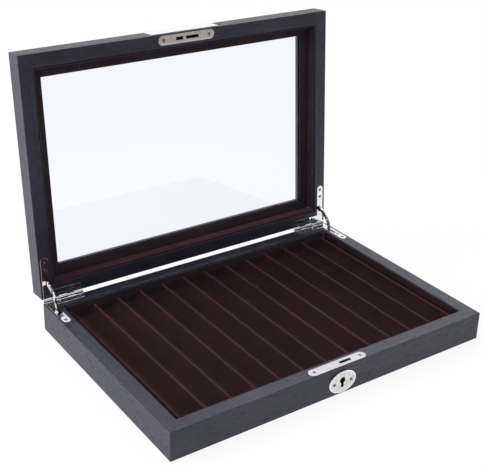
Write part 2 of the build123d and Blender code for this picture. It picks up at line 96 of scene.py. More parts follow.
# Small helpers for node trees
def addNode(tree, kind, **values):
    node = tree.nodes.new(kind)
    for key, value in values.items():
        if hasattr(node, key):
            setattr(node, key, value)
        else:
            node.inputs[key.replace("_", " ")].default_value = value
    return node


def newGroup(name, inputs, outputs):
    group = bpy.data.node_groups.new(name, "ShaderNodeTree")
    for label, kind, value in inputs:
        socket = group.interface.new_socket(label, in_out="INPUT", socket_type=kind)
        if value is not None:
            socket.default_value = value
    for label, kind in outputs:
        group.interface.new_socket(label, in_out="OUTPUT", socket_type=kind)
    return group, group.nodes.new("NodeGroupInput"), group.nodes.new("NodeGroupOutput")


def rampNode(tree, source, start, end, low=0.0, high=1.0):
    # The low value up to the start, the high one from the end, and an even climb between them
    ramp = tree.nodes.new("ShaderNodeValToRGB")
    for element, position, value in zip(ramp.color_ramp.elements, (start, end), (low, high)):
        element.position = position
        element.color = (value, value, value, 1)
    tree.links.new(source, ramp.inputs[0])
    return ramp.outputs[0]


def mathNode(tree, operation, *operands):
    node = addNode(tree, "ShaderNodeMath", operation=operation)
    for socket, value in zip(node.inputs, operands):
        if isinstance(value, (int, float)):
            socket.default_value = value
        else:
            tree.links.new(value, socket)
    return node.outputs[0]


def mixColours(tree, mask, first, second, blend="MIX"):
    # A Mix node takes its two colours at sockets 6 and 7 and gives a colour at output 2
    node = addNode(tree, "ShaderNodeMix", data_type="RGBA", blend_type=blend)
    tree.links.new(mask, node.inputs["Factor"])
    for socket, value in zip((node.inputs[6], node.inputs[7]), (first, second)):
        if isinstance(value, tuple):
            socket.default_value = (*value, 1)
        else:
            tree.links.new(value, socket)
    return node.outputs[2]


def newMaterial(name):
    material = bpy.data.materials.new(name)
    material.use_nodes = True
    tree = material.node_tree
    tree.nodes.clear()
    shader = tree.nodes.new("ShaderNodeBsdfPrincipled")
    out = tree.nodes.new("ShaderNodeOutputMaterial")
    tree.links.new(shader.outputs[0], out.inputs["Surface"])
    return material, tree, shader


def objectSpace(tree, turn=(0, 0, 0)):
    coordinates = tree.nodes.new("ShaderNodeTexCoord")
    mapping = addNode(tree, "ShaderNodeMapping", Rotation=turn)
    tree.links.new(coordinates.outputs["Object"], mapping.inputs["Vector"])
    return mapping.outputs[0]


# Open grain: long pores along X, drifting growth bands and soft blotches of stain
openGrain = {
    "driftScale": 9.0, "driftReach": 0.012, "poreStretch": 7.0, "bandStretch": 9.0,
    "blotchScale": 26.0, "poreFull": 0.34, "poreGone": 0.50, "bandHeight": 0.3,
}


def buildGrainGroup(values):
    group, inp, out = newGroup(
        "openGrain",
        [("Vector", "NodeSocketVector", None), ("Pore Size", "NodeSocketFloat", 0.0011),
         ("Band Size", "NodeSocketFloat", 0.012)],
        [("Pores", "NodeSocketFloat"), ("Bands", "NodeSocketFloat"),
         ("Blotches", "NodeSocketFloat"), ("Height", "NodeSocketFloat")],
    )
    link = group.links.new
    wander = addNode(group, "ShaderNodeTexNoise", Scale=values["driftScale"], Detail=2.0)
    link(inp.outputs["Vector"], wander.inputs["Vector"])
    drift = addNode(group, "ShaderNodeVectorMath", operation="MULTIPLY_ADD")
    drift.inputs[1].default_value = (0, values["driftReach"], values["driftReach"])
    link(wander.outputs["Color"], drift.inputs[0])
    link(inp.outputs["Vector"], drift.inputs[2])

    def stretched(times):
        size = addNode(group, "ShaderNodeVectorMath", operation="MULTIPLY")
        size.inputs[1].default_value = (1 / times, 1, 1)
        link(drift.outputs[0], size.inputs[0])
        return size.outputs[0]

    poreScale = mathNode(group, "DIVIDE", 1.0, inp.outputs["Pore Size"])
    pore = addNode(group, "ShaderNodeTexNoise", Detail=3.0, Roughness=0.62)
    link(stretched(values["poreStretch"]), pore.inputs["Vector"])
    link(poreScale, pore.inputs["Scale"])
    bandScale = mathNode(group, "DIVIDE", 1.0, inp.outputs["Band Size"])
    band = addNode(group, "ShaderNodeTexNoise", Detail=3.0, Roughness=0.5)
    link(stretched(values["bandStretch"]), band.inputs["Vector"])
    link(bandScale, band.inputs["Scale"])
    blotch = addNode(group, "ShaderNodeTexNoise", Scale=values["blotchScale"], Detail=2.0)
    link(inp.outputs["Vector"], blotch.inputs["Vector"])
    poreMask = rampNode(group, pore.outputs[0], values["poreFull"], values["poreGone"], 1.0, 0.0)
    link(poreMask, out.inputs["Pores"])
    link(band.outputs[0], out.inputs["Bands"])
    link(blotch.outputs[0], out.inputs["Blotches"])
    raised = mathNode(group, "MULTIPLY", band.outputs[0], values["bandHeight"])
    link(mathNode(group, "SUBTRACT", raised, poreMask), out.inputs["Height"])
    return group


# Pile: fine upright fibres, and areas where the nap leans and shows lighter or darker
velvetPile = {"napFrom": 0.36, "napTo": 0.64}


def buildPileGroup(values):
    group, inp, out = newGroup(
        "velvetPile",
        [("Vector", "NodeSocketVector", None), ("Fibre Size", "NodeSocketFloat", 0.0003),
         ("Nap Size", "NodeSocketFloat", 0.03)],
        [("Fibres", "NodeSocketFloat"), ("Nap", "NodeSocketFloat"),
         ("Height", "NodeSocketFloat")],
    )
    link = group.links.new
    fibre = addNode(group, "ShaderNodeTexNoise", Detail=2.0, Roughness=0.7)
    link(inp.outputs["Vector"], fibre.inputs["Vector"])
    link(mathNode(group, "DIVIDE", 1.0, inp.outputs["Fibre Size"]), fibre.inputs["Scale"])
    nap = addNode(group, "ShaderNodeTexNoise", Detail=3.0, Roughness=0.55, Distortion=0.6)
    link(inp.outputs["Vector"], nap.inputs["Vector"])
    link(mathNode(group, "DIVIDE", 1.0, inp.outputs["Nap Size"]), nap.inputs["Scale"])
    link(fibre.outputs[0], out.inputs["Fibres"])
    link(rampNode(group, nap.outputs[0], values["napFrom"], values["napTo"]), out.inputs["Nap"])
    link(fibre.outputs[0], out.inputs["Height"])
    return group


# Handling marks: faint smears and hairline scratches on plated metal
handlingMarks = {
    "scratchTurn": (0.2, 0.3, 0.5), "scratchScale": (160, 2600, 2600),
    "scratchFrom": 0.66, "scratchTo": 0.74, "hazeFrom": 0.42, "hazeTo": 0.72,
}


def buildHandlingGroup(values):
    group, inp, out = newGroup(
        "handlingMarks",
        [("Vector", "NodeSocketVector", None), ("Smear Size", "NodeSocketFloat", 0.012)],
        [("Haze", "NodeSocketFloat"), ("Scratches", "NodeSocketFloat"),
         ("Height", "NodeSocketFloat")],
    )
    link = group.links.new
    smear = addNode(group, "ShaderNodeTexNoise", Detail=4.0, Roughness=0.6, Distortion=0.4)
    link(inp.outputs["Vector"], smear.inputs["Vector"])
    link(mathNode(group, "DIVIDE", 1.0, inp.outputs["Smear Size"]), smear.inputs["Scale"])
    haze = rampNode(group, smear.outputs[0], values["hazeFrom"], values["hazeTo"])
    stretch = addNode(group, "ShaderNodeMapping", Rotation=values["scratchTurn"],
                      Scale=values["scratchScale"])
    link(inp.outputs["Vector"], stretch.inputs["Vector"])
    scratch = addNode(group, "ShaderNodeTexNoise", Scale=1.0, Detail=2.0)
    link(stretch.outputs[0], scratch.inputs["Vector"])
    lines = rampNode(group, scratch.outputs[0], values["scratchFrom"], values["scratchTo"])
    link(haze, out.inputs["Haze"])
    link(lines, out.inputs["Scratches"])
    link(mathNode(group, "MULTIPLY", lines, -1.0), out.inputs["Height"])
    return group


# The mask for a painted highlight along the edge of an oval plate: 0 up to the start, and 1 from the end on
def buildEdgeGroup():
    # In words: the distance from the oval's centre, with each direction divided by its half size, is
    # 1 at the outline; a half size of 1 metre leaves its direction out.
    group, inp, out = newGroup(
        "paintedEdgeHighlight",
        [("Vector", "NodeSocketVector", None), ("Centre", "NodeSocketVector", None),
         ("Half Size", "NodeSocketVector", (1, 1, 1)), ("Start", "NodeSocketFloat", 0.8),
         ("End", "NodeSocketFloat", 0.9)],
        [("Edge", "NodeSocketFloat")],
    )
    link = group.links.new
    offset = addNode(group, "ShaderNodeVectorMath", operation="SUBTRACT")
    link(inp.outputs["Vector"], offset.inputs[0])
    link(inp.outputs["Centre"], offset.inputs[1])
    share = addNode(group, "ShaderNodeVectorMath", operation="DIVIDE")
    link(offset.outputs[0], share.inputs[0])
    link(inp.outputs["Half Size"], share.inputs[1])
    reach = addNode(group, "ShaderNodeVectorMath", operation="LENGTH")
    link(share.outputs[0], reach.inputs[0])
    edge = addNode(group, "ShaderNodeMapRange")
    link(reach.outputs["Value"], edge.inputs["Value"])
    link(inp.outputs["Start"], edge.inputs["From Min"])
    link(inp.outputs["End"], edge.inputs["From Max"])
    link(edge.outputs[0], out.inputs["Edge"])
    return group


grainGroup = buildGrainGroup(openGrain)
pileGroup = buildPileGroup(velvetPile)
handlingGroup = buildHandlingGroup(handlingMarks)
edgeGroup = buildEdgeGroup()


def placeGroup(tree, group, vector, **values):
    node = tree.nodes.new("ShaderNodeGroup")
    node.node_tree = group
    tree.links.new(vector, node.inputs["Vector"])
    for key, value in values.items():
        node.inputs[key.replace("_", " ")].default_value = value
    return node


def addBump(tree, shader, height, distance, strength):
    bump = addNode(tree, "ShaderNodeBump", Strength=strength, Distance=distance)
    tree.links.new(height, bump.inputs["Height"])
    tree.links.new(bump.outputs[0], shader.inputs["Normal"])


# Black stained wood, satin; the lid's rails take a lighter copy of the stain, painted light for how they show lit
# in the open lid
blackWood = {
    "stain": (0.0115, 0.0108, 0.0215), "stainLight": (0.024, 0.0226, 0.040),
    "blotchShare": 0.6, "bandShare": 0.4, "lightFrom": 0.36, "lightTo": 0.64,
    "pore": (0.004, 0.004, 0.008), "poreShare": 0.75, "poreSize": 0.0011, "bandSize": 0.012,
    "roughness": (0.42, 0.60), "specular": 0.64, "specularTint": (0.82, 0.83, 1.0, 1),
    "poreDepth": 0.00006, "bumpStrength": 0.6,
}
litLidWood = dict(blackWood, stain=(0.0165, 0.0155, 0.0265), stainLight=(0.029, 0.0275, 0.045))

# The plain board of the bottom panel
plainBoard = dict(
    blackWood, stain=(0.11, 0.075, 0.05), stainLight=(0.19, 0.135, 0.09), pore=(0.06, 0.04, 0.028),
    poreSize=0.0008, bandSize=0.02, roughness=(0.6, 0.75), specular=0.4,
    specularTint=(1, 1, 1, 1), poreDepth=0.00004, bumpStrength=0.4,
)

# The grain is turned along each rail
railWoods = {
    "baseAlongX": (blackWood, (0, 0, 0)),
    "baseAlongY": (blackWood, (0, 0, -pi / 2)),
    "lidAlongX": (litLidWood, (0, 0, 0)),
    "lidUpright": (litLidWood, (lidLean, pi / 2, 0)),
}


def makeWood(name, turn, values):
    material, tree, shader = newMaterial(name)
    grain = placeGroup(tree, grainGroup, objectSpace(tree, turn),
                       Pore_Size=values["poreSize"], Band_Size=values["bandSize"])
    bands = mathNode(tree, "MULTIPLY", grain.outputs["Bands"], values["bandShare"])
    tint = mathNode(tree, "MULTIPLY_ADD", grain.outputs["Blotches"], values["blotchShare"], bands)
    light = rampNode(tree, tint, values["lightFrom"], values["lightTo"])
    stained = mixColours(tree, light, values["stain"], values["stainLight"])
    poreMask = mathNode(tree, "MULTIPLY", grain.outputs["Pores"], values["poreShare"])
    tree.links.new(mixColours(tree, poreMask, stained, values["pore"]), shader.inputs["Base Color"])
    smooth, rough = values["roughness"]
    shine = mathNode(tree, "MULTIPLY_ADD", grain.outputs["Pores"], rough - smooth, smooth)
    tree.links.new(shine, shader.inputs["Roughness"])
    shader.inputs["Specular IOR Level"].default_value = values["specular"]
    shader.inputs["Specular Tint"].default_value = values["specularTint"]
    addBump(tree, shader, grain.outputs["Height"], values["poreDepth"], values["bumpStrength"])
    return material


# Dark brown velvet
velvet = {
    "pile": (0.012, 0.0052, 0.006), "pileLight": (0.023, 0.0093, 0.0105),
    "fibreShare": 0.5, "napShare": 0.5, "fibreSize": 0.00035, "napSize": 0.028,
    "roughness": 0.95, "specular": 0.1,
    "sheen": 0.6, "sheenRoughness": 0.35, "sheenTint": (0.42, 0.30, 0.33, 1),
    "fibreHeight": 0.00025, "bumpStrength": 0.35,
}

# A lighter, greyer copy of the velvet, painted sheen and light for where the lid's frame shades it and it is seen
# along the pile
shadedVelvet = dict(velvet, pile=(0.026, 0.018, 0.023), pileLight=(0.044, 0.031, 0.038),
                    sheenTint=(0.40, 0.34, 0.38, 1))

# The strip at the foot of the lid catches the light from the front
litVelvet = dict(velvet, pile=(0.030, 0.010, 0.014), pileLight=(0.056, 0.019, 0.026),
                 sheen=0.9)

# The tray's velvet: a painted highlight along the crests, and painted shade on the slope of each hollow that
# climbs to the right
trayVelvet = dict(velvet, crest=(0.075, 0.022, 0.025), crestHighlightShare=0.85, paintedSlopeShade=(0.55, 0.55, 0.62))

# Black felt under the case
felt = dict(
    velvet, pile=(0.012, 0.012, 0.014), pileLight=(0.030, 0.030, 0.033), fibreSize=0.0008,
    napSize=0.012, roughness=0.97, sheen=0.2, sheenRoughness=0.6, sheenTint=(0.5, 0.5, 0.55, 1),
    fibreHeight=0.0003, bumpStrength=0.6,
)


def makeVelvet(name, values):
    material, tree, shader = newMaterial(name)
    pile = placeGroup(tree, pileGroup, objectSpace(tree),
                      Fibre_Size=values["fibreSize"], Nap_Size=values["napSize"])
    nap = mathNode(tree, "MULTIPLY", pile.outputs["Nap"], values["napShare"])
    light = mathNode(tree, "MULTIPLY_ADD", pile.outputs["Fibres"], values["fibreShare"], nap)
    colour = mixColours(tree, light, values["pile"], values["pileLight"])
    if "crest" in values:
        colour = markTray(tree, colour, values)
    tree.links.new(colour, shader.inputs["Base Color"])
    shader.inputs["Roughness"].default_value = values["roughness"]
    shader.inputs["Specular IOR Level"].default_value = values["specular"]
    shader.inputs["Sheen Weight"].default_value = values["sheen"]
    shader.inputs["Sheen Roughness"].default_value = values["sheenRoughness"]
    shader.inputs["Sheen Tint"].default_value = values["sheenTint"]
    addBump(tree, shader, pile.outputs["Height"], values["fibreHeight"], values["bumpStrength"])
    return material


def markTray(tree, colour, values):
    # Painted light: slopes that climb to the right are multiplied darker as painted shade, and the crests are
    # mixed towards a lighter colour as painted highlight
    paintedSlopeShade = addNode(tree, "ShaderNodeAttribute", attribute_name="paintedSlopeShade")
    crest = addNode(tree, "ShaderNodeAttribute", attribute_name="crest")
    darker = mixColours(tree, paintedSlopeShade.outputs["Fac"], colour, values["paintedSlopeShade"], "MULTIPLY")
    paintedHighlight = mathNode(tree, "MULTIPLY", crest.outputs["Fac"], values["crestHighlightShare"])
    return mixColours(tree, paintedHighlight, darker, values["crest"])


# Metals: "plate" is the clean colour and "dull" the colour under haze
nickel = {
    "plate": (0.72, 0.725, 0.75), "dull": (0.58, 0.585, 0.61), "roughness": (0.04, 0.14),
    "smearSize": 0.012, "scratchDepth": 0.00001, "bumpStrength": 0.15,
}
silverPlate = {
    "plate": (0.93, 0.93, 0.94), "dull": (0.86, 0.86, 0.87), "roughness": (0.12, 0.2),
    "smearSize": 0.02, "scratchDepth": 0.00001, "bumpStrength": 0.1,
}
screwSteel = {
    "plate": (0.46, 0.45, 0.44), "dull": (0.25, 0.25, 0.25), "roughness": (0.22, 0.42),
    "smearSize": 0.003, "scratchDepth": 0.00002, "bumpStrength": 0.4,
}
sheetSteel = {
    "plate": (0.50, 0.50, 0.51), "dull": (0.34, 0.34, 0.35), "roughness": (0.32, 0.5),
    "smearSize": 0.008, "scratchDepth": 0.00002, "bumpStrength": 0.4,
}

pinSteel = dict(screwSteel, plate=(0.20, 0.195, 0.19), dull=(0.09, 0.09, 0.09))
seatScrew = dict(screwSteel, plate=(0.32, 0.32, 0.32), dull=(0.20, 0.20, 0.20))
hingeNickel = dict(nickel, plate=(0.88, 0.88, 0.90), dull=(0.74, 0.745, 0.76))

# The keeper is warmer, with a painted highlight along its lower edge
keeperNickel = dict(
    nickel, plate=(0.92, 0.84, 0.80), dull=(0.74, 0.67, 0.64), smearSize=0.005,
    edgeCentre=(0, 0.137, 0.2614), edgeHalf=(1, 1, 0.0096), edgeStart=0.78, edgeEnd=0.86,
    edgeHighlight=(0.99, 0.98, 0.98),
)

# The oval plate round the keyhole: spotted with age on its face, with a painted highlight along its edge
ovalNickel = dict(
    nickel, plate=(0.76, 0.76, 0.77), dull=(0.46, 0.46, 0.47), smearSize=0.0024,
    edgeCentre=(0.002, 0, 0.0127), edgeHalf=(0.0147, 1, 0.0107), edgeStart=0.90, edgeEnd=0.97,
    edgeHighlight=(0.97, 0.97, 0.98),
)


def makeMetal(name, values):
    material, tree, shader = newMaterial(name)
    place = objectSpace(tree)
    marks = placeGroup(tree, handlingGroup, place, Smear_Size=values["smearSize"])
    haze = marks.outputs["Haze"]
    colour = mixColours(tree, haze, values["plate"], values["dull"])
    # Plates with an edge mask get a painted highlight: the colour is mixed towards a lighter one along the edge
    if "edgeHighlight" in values:
        paintedHighlight = placeGroup(tree, edgeGroup, place, Centre=values["edgeCentre"],
                            Half_Size=values["edgeHalf"], Start=values["edgeStart"],
                            End=values["edgeEnd"])
        colour = mixColours(tree, paintedHighlight.outputs["Edge"], colour, values["edgeHighlight"])
    tree.links.new(colour, shader.inputs["Base Color"])
    smooth, rough = values["roughness"]
    scuffed = mathNode(tree, "MAXIMUM", haze, marks.outputs["Scratches"])
    shine = mathNode(tree, "MULTIPLY_ADD", scuffed, rough - smooth, smooth)
    tree.links.new(shine, shader.inputs["Roughness"])
    shader.inputs["Metallic"].default_value = 1.0
    addBump(tree, shader, marks.outputs["Height"], values["scratchDepth"], values["bumpStrength"])
    return material


# Clear glass with the faintest tint and a few specks of dust
glass = {
    "tint": (0.93, 0.94, 0.99), "ior": 1.4,
    "dustSize": 0.004, "dustFrom": 0.72, "dustTo": 0.80, "dustRoughness": 0.06,
}


def makeGlass(name, values):
    material, tree, shader = newMaterial(name)
    dust = addNode(tree, "ShaderNodeTexNoise", Scale=1 / values["dustSize"], Detail=3.0)
    tree.links.new(objectSpace(tree), dust.inputs["Vector"])
    specks = rampNode(tree, dust.outputs[0], values["dustFrom"], values["dustTo"])
    shine = mathNode(tree, "MULTIPLY", specks, values["dustRoughness"])
    tree.links.new(shine, shader.inputs["Roughness"])
    shader.inputs["Base Color"].default_value = (*values["tint"], 1)
    shader.inputs["IOR"].default_value = values["ior"]
    shader.inputs["Transmission Weight"].default_value = 1.0
    return material


woodMaterials = {
    name: makeWood("blackWood_" + name, turn, wood) for name, (wood, turn) in railWoods.items()
}
boardMaterial = makeWood("plainBoard", (0, 0, 0), plainBoard)
velvetMaterial = makeVelvet("brownVelvet", velvet)
trayMaterial = makeVelvet("trayVelvet", trayVelvet)
shadedMaterial = makeVelvet("shadedVelvet", shadedVelvet)
litMaterial = makeVelvet("litVelvet", litVelvet)
feltMaterial = makeVelvet("blackFelt", felt)
nickelMaterial = makeMetal("polishedNickel", nickel)
hingeMaterial = makeMetal("hingeNickel", hingeNickel)
steelMaterial = makeMetal("sheetSteel", sheetSteel)
screwMaterial = makeMetal("screwSteel", screwSteel)
pinMaterial = makeMetal("pinSteel", pinSteel)
keeperMaterial = makeMetal("keeperNickel", keeperNickel)
ovalMaterial = makeMetal("ovalNickel", ovalNickel)
seatScrewMaterial = makeMetal("seatScrew", seatScrew)
silverMaterial = makeMetal("silverPlate", silverPlate)
glassMaterial = makeGlass("clearGlass", glass)
print("stage: materials made")


def dress(piece, material):
    piece.data.materials.clear()
    piece.data.materials.append(material)


for side in sides:
    alongX = side in ("front", "back")
    baseWood, lidRailWood = ("baseAlongX", "lidAlongX") if alongX else ("baseAlongY", "lidUpright")
    dress(nodes[f"base_{side}_rail"], woodMaterials[baseWood])
    dress(nodes[f"lid_{side}_rail"], woodMaterials[lidRailWood])

# Every other piece takes the material of its slot, and the lines after it dress some of them anew
slotMaterials = {
    "nickel": nickelMaterial, "lock_steel": steelMaterial, "glass": glassMaterial,
    "panel_wood": boardMaterial, "velvet": velvetMaterial, "felt": feltMaterial,
}
for subpart in frame["record"]["subparts"]:
    if subpart["material_slot"] in slotMaterials:
        dress(nodes[subpart["node"]], slotMaterials[subpart["material_slot"]])
for part in ("base_leaf", "lid_leaf", "stay", "pin"):
    for side in ("left", "right"):
        dress(nodes[f"hinge_{part}_{side}"], hingeMaterial)
for node in ("base_hinge_screws", "lid_hinge_screws", "keeper_screws"):
    dress(nodes[node], screwMaterial)
dress(nodes["selvedge_screws"], seatScrewMaterial)
dress(nodes["lock_keeper"], keeperMaterial)
dress(nodes["escutcheon"], ovalMaterial)
dress(nodes["escutcheon_pins"], pinMaterial)
dress(nodes["front_plate"], silverMaterial)
print("stage: CAD pieces dressed")


# A closed skin from rings of points: ring i is joined to ring i + 1, and both ends are capped
def skinFromRings(name, rings, material, body, standsFor):
    count, around = rings.shape[:2]
    index = np.arange(count * around).reshape(count, around)
    first, second = index[:-1], index[1:]
    nextFirst, nextSecond = np.roll(first, -1, axis=1), np.roll(second, -1, axis=1)
    quads = np.stack([first, nextFirst, nextSecond, second], axis=-1).reshape(-1, 4)
    faces = quads.tolist() + [index[0][::-1].tolist(), index[-1].tolist()]
    mesh = bpy.data.meshes.new(name)
    mesh.from_pydata(rings.reshape(-1, 3).tolist(), [], faces)
    mesh.validate()
    mesh.shade_smooth()
    piece = bpy.data.objects.new(name, mesh)
    bpy.context.collection.objects.link(piece)
    bpy.context.view_layer.update()
    if meshVolume(mesh) < 0:
        mesh.flip_normals()
    dress(piece, material)
    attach(piece, body)
    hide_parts(standsFor)
    return piece


def meshVolume(mesh):
    # In words: a sixth of the sum of a times the cross product of b and c over all triangles; it is
    # below zero where the skin is inside out.
    mesh.calc_loop_triangles()
    corners = np.empty(len(mesh.vertices) * 3)
    mesh.vertices.foreach_get("co", corners)
    corners = corners.reshape(-1, 3)
    triangles = np.empty(len(mesh.loop_triangles) * 3, dtype=np.int64)
    mesh.loop_triangles.foreach_get("vertices", triangles)
    a, b, c = (corners[triangles.reshape(-1, 3)[:, k]] for k in range(3))
    return float(np.einsum("ij,ij->i", a, np.cross(b, c)).sum() / 6)


# Velvet tray: twelve hollows side by side, the pile rounding every crest
penTray = {
    "channels": 12, "pitch": 25.0, "hollow": 8.5, "crestFlat": 1.6, "crestSoftness": 0.55,
    "steepest": 0.995,  # points past this share of the arc's radius stay at its height there
    "edgeDrop": 4.0, "edgeSoftness": 1.1, "pile": 0.25, "endRound": 1.4, "endDrop": 0.9,
    "ripple": 0.10, "rippleWaves": ((1.0, 0.11, 0.37), (0.6, 0.23, -0.19)),
    # The last width below is that of the painted highlight along each crest
    "acrossSteps": 50, "alongSteps": 60, "endSteps": 6, "highlightWidth": 0.7,
}


def trayHeights(x, values, crestHeight):
    # In words: each hollow is a circle arc through its two crests; a soft minimum caps it at the
    # crest's height, so the crest is a small round ridge; past the last crest it drops to a ledge.
    halfChord = (values["pitch"] - values["crestFlat"]) / 2
    radius = (halfChord**2 + values["hollow"]**2) / (2 * values["hollow"])
    reach = values["channels"] * values["pitch"] / 2
    offset = np.mod(x + reach, values["pitch"]) - values["pitch"] / 2
    inside = np.minimum(np.abs(offset), radius * values["steepest"])
    rise = radius - np.sqrt(radius**2 - inside**2)
    soft = values["crestSoftness"]
    capped = -soft * np.log(np.exp(-rise / soft) + np.exp(-values["hollow"] / soft))
    heights = crestHeight - values["hollow"] + capped
    over = np.clip((np.abs(x) - reach - values["crestFlat"] / 2) / values["edgeSoftness"], 0, 1)
    ledge = crestHeight - values["edgeDrop"]
    step = over * over * (3 - 2 * over)
    crest = np.where(np.abs(x) > reach, crestHeight, heights)
    return crest * (1 - step) + ledge * step


def buildPenTray(values):
    # In words: every ring is the same row of hollows, closed by a flat underside; towards both ends
    # it sinks along a quarter circle, and a sum of slow sines makes the pile a little uneven.
    low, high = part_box("pen_tray")
    left, front, bottom = (value / mm for value in low)
    right, back, top = (value / mm for value in high)
    columns = int((right - left) / values["pitch"] * values["acrossSteps"])
    across = np.linspace(left, right, columns)
    ends = values["endRound"] * (1 - np.cos(np.linspace(0, pi / 2, values["endSteps"])))
    inner = np.linspace(front + values["endRound"], back - values["endRound"], values["alongSteps"])
    along = np.concatenate([front + ends[:-1], inner, (back - ends[:-1])[::-1]])
    heights = trayHeights(across, values, top + values["pile"])
    fromEnd = np.minimum(along - front, back - along)
    rounding = np.clip(1 - fromEnd / values["endRound"], 0, 1)
    lowered = values["endDrop"] * (1 - np.sqrt(np.clip(1 - rounding**2, 0, 1)))
    wave = values["ripple"] * sum(
        share * np.sin(along[:, None] * lengthwise + across[None, :] * crosswise)
        for share, lengthwise, crosswise in values["rippleWaves"]
    )
    surface = heights[None, :] - lowered[:, None] + wave * (1 - rounding[:, None])
    rings = np.empty((len(along), len(across) + 2, 3))
    rings[:, :-2, 0] = across[None, :]
    rings[:, :-2, 2] = surface
    rings[:, -2] = (right, 0, bottom)
    rings[:, -1] = (left, 0, bottom)
    rings[:, :, 1] = along[:, None]
    tray = skinFromRings("velvetPenTray", rings * mm, trayMaterial, "base", "pen_tray")
    markCrests(tray.data, across, heights, len(along), values)


def markCrests(mesh, across, heights, count, values):
    # In words: "crest" is a bell curve of the distance from the nearest crest, the mask of the crests' painted
    # highlight;
    # the second mark, the painted slope shade, is how steeply the hollow climbs to the right there, from 0 to 1.
    halfPitch = values["pitch"] / 2
    reach = values["channels"] * values["pitch"] / 2
    nearest = np.abs(np.mod(across + reach + halfPitch, values["pitch"]) - halfPitch)
    crest = np.exp(-(nearest / values["highlightWidth"])**2) * (np.abs(across) < reach + halfPitch)
    climb = np.gradient(heights, across)
    paintedSlopeShade = np.clip(climb / climb.max(), 0, 1)
    for label, row in (("crest", crest), ("paintedSlopeShade", paintedSlopeShade)):
        marks = np.zeros((count, len(across) + 2))
        marks[:, :-2] = row[None, :]
        mesh.attributes.new(label, "FLOAT", "POINT").data.foreach_set("value", marks.ravel())


buildPenTray(penTray)
print("stage: velvet tray laid")


# Velvet strips: a rounded section carried along each wall
strips = {
    "corner": 0.85, "cornerSteps": 5, "swell": 0.12, "swellLength": 34.0,
    "alongStep": 4.0, "fewestSteps": 8, "shrink": 0.02,
}
cornerLimit = 2.05  # a corner's radius is at most the section's short side divided by this


def roundedSection(width, height, corner, steps):
    # In words: a rectangle centred on zero whose corners are quarter circles of the given radius,
    # or of as much of it as fits.
    corner = min(corner, width / cornerLimit, height / cornerLimit)
    turn = np.linspace(0, pi / 2, steps)
    points = []
    for quarter, (sx, sy) in enumerate(((1, 1), (-1, 1), (-1, -1), (1, -1))):
        angle = turn + quarter * pi / 2
        points.append(np.stack([sx * (width / 2 - corner) + corner * np.cos(angle),
                                sy * (height / 2 - corner) + corner * np.sin(angle)], axis=1))
    return np.concatenate(points)


def buildStrip(node, name, body, axes, material, values):
    # In words: the section lies in the two short directions of the strip and is carried along the
    # long one; it swells and thins by a slow sine, as cloth pulled over a batten does.
    local = nodeCorners(node) @ axes.T
    low, high = local.min(axis=0) / mm, local.max(axis=0) / mm
    size = high - low - values["shrink"]
    centre = (low + high) / 2
    longAxis = int(np.argmax(size))
    shortAxes = [axis for axis in range(3) if axis != longAxis]
    section = roundedSection(*size[shortAxes], values["corner"], values["cornerSteps"])
    steps = max(int(size[longAxis] / values["alongStep"]), values["fewestSteps"])
    along = np.linspace(-size[longAxis] / 2, size[longAxis] / 2, steps)
    thickness = size[shortAxes].min()
    turns = along * 2 * pi / values["swellLength"]
    thinned = 1 - values["swell"] / thickness * (1 + np.sin(turns)) / 2
    rings = np.zeros((steps, len(section), 3))
    rings[:, :, longAxis] = along[:, None]
    for column, axis in enumerate(shortAxes):
        share = thinned if size[axis] == thickness else np.ones(steps)
        rings[:, :, axis] = section[None, :, column] * share[:, None]
    world = ((rings + centre) * mm) @ axes
    return skinFromRings(name, world, material, body, node)


def nodeCorners(node):
    mesh = nodes[node].data
    corners = np.empty(len(mesh.vertices) * 3)
    mesh.vertices.foreach_get("co", corners)
    return corners.reshape(-1, 3)


baseAxes = np.eye(3)
lidAxes = np.array(((1, 0, 0), tuple(lidDown), tuple(lidUp)))
for side in sides:
    baseMaterial = shadedMaterial if side == "back" else velvetMaterial
    buildStrip(f"base_{side}_liner", f"baseVelvetStrip_{side}", "base", baseAxes, baseMaterial,
               strips)
    lidMaterial = litMaterial if side == "back" else shadedMaterial
    buildStrip(f"lid_{side}_liner", f"lidVelvetStrip_{side}", "lid", lidAxes, lidMaterial, strips)
print("stage: velvet strips on the walls")


# Velvet-covered battens that hold the glass, mitred at the corners
battens = {"corner": 0.7, "cornerSteps": 5, "alongSteps": 40, "mitreRound": 0.1}


def buildBatten(side, values):
    # In words: the section is a rounded rectangle from the wall to the window; each ring is slid
    # along the batten by how far its points stand from the wall, which cuts the ends at 45 degrees.
    local = nodeCorners(f"glass_retainer_{side}") @ lidAxes.T / mm
    low, high = local.min(axis=0), local.max(axis=0)
    longAxis, inAxis = (0, 1) if side in ("front", "back") else (1, 0)
    centre = (low + high) / 2
    width, depth = high[inAxis] - low[inAxis], high[2] - low[2]
    towards = -1 if centre[inAxis] > lidCentre[inAxis] else 1
    section = roundedSection(width, depth, values["corner"], values["cornerSteps"])
    half = (high[longAxis] - low[longAxis]) / 2
    fromWall = section[:, 0] * towards + width / 2
    shares = np.linspace(-1, 1, values["alongSteps"])
    rings = np.zeros((len(shares), len(section), 3))
    rings[:, :, longAxis] = shares[:, None] * (half - fromWall[None, :] - values["mitreRound"])
    rings[:, :, inAxis] = section[None, :, 0]
    rings[:, :, 2] = section[None, :, 1]
    world = ((rings + centre) * mm) @ lidAxes
    return skinFromRings(f"glassBatten_{side}", world, shadedMaterial, "lid",
                         f"glass_retainer_{side}")


lidCentre = (nodeCorners("glass_pane") @ lidAxes.T).mean(axis=0) / mm
for side in sides:
    buildBatten(side, battens)
print("stage: glass battens in place")


# Felt sheet under the base
feltSheet = {
    "acrossSteps": 60, "alongSteps": 40,
    "unevenness": 0.06, "waveAcross": 310, "waveAlong": 270,  # waves in radians per metre
}


